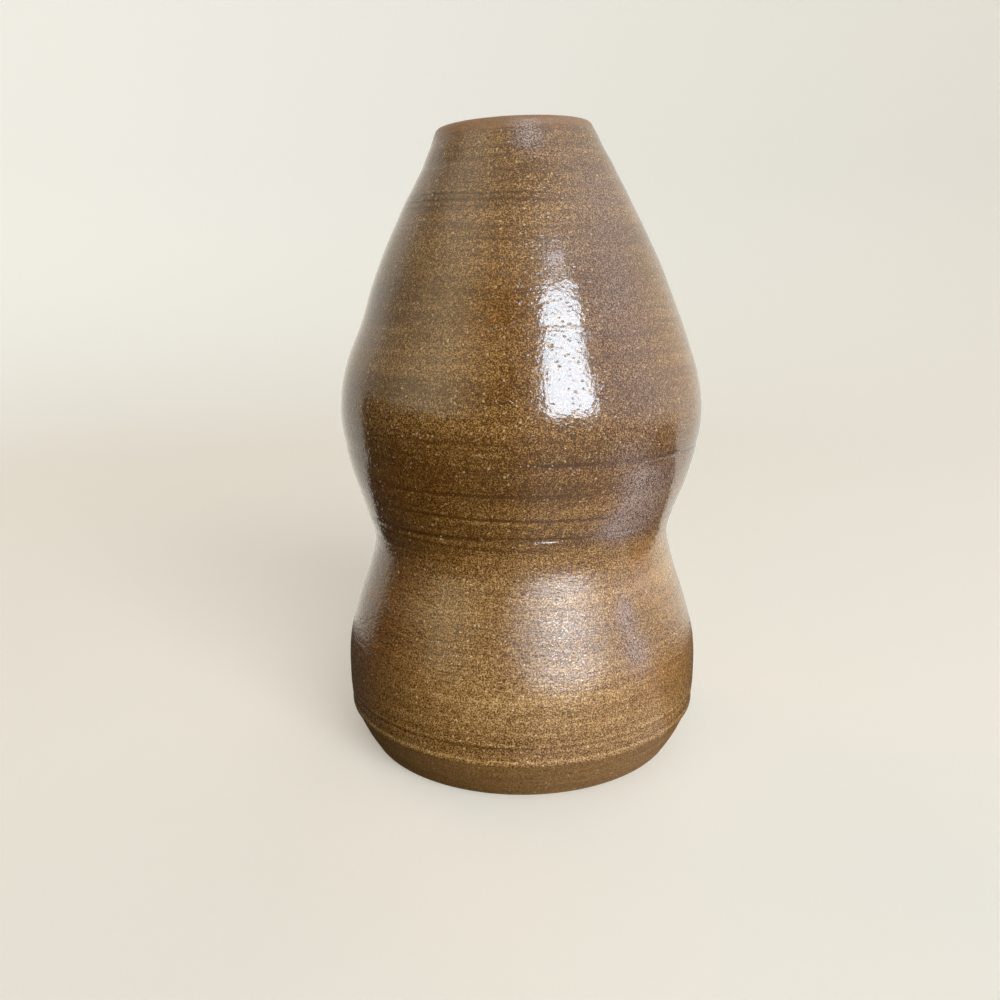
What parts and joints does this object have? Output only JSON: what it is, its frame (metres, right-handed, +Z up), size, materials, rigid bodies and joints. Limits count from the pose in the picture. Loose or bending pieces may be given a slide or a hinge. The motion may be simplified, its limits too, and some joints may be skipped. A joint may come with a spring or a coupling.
{
  "type": "stoneware vase",
  "caption": "Wheel-thrown gourd-shaped stoneware vase with a soft waist, a narrow mouth, a turned foot and a speckled brown glaze.",
  "frame": {"origin": "centre of the face that the vase stands on", "axes": "+Z up along the axis that the vase was thrown on; the picture looks along +Y, with +X to its right"},
  "size_m": [0.137, 0.137, 0.23],
  "materials": {
    "bare_stoneware": "satin",
    "speckled_glaze": "gloss",
    "liner_glaze": "gloss"
  },
  "bodies": {
    "root": {"clay_body": "bare_stoneware", "outer_glaze": "speckled_glaze", "liner_glaze": "liner_glaze"}
  },
  "joints": []
}
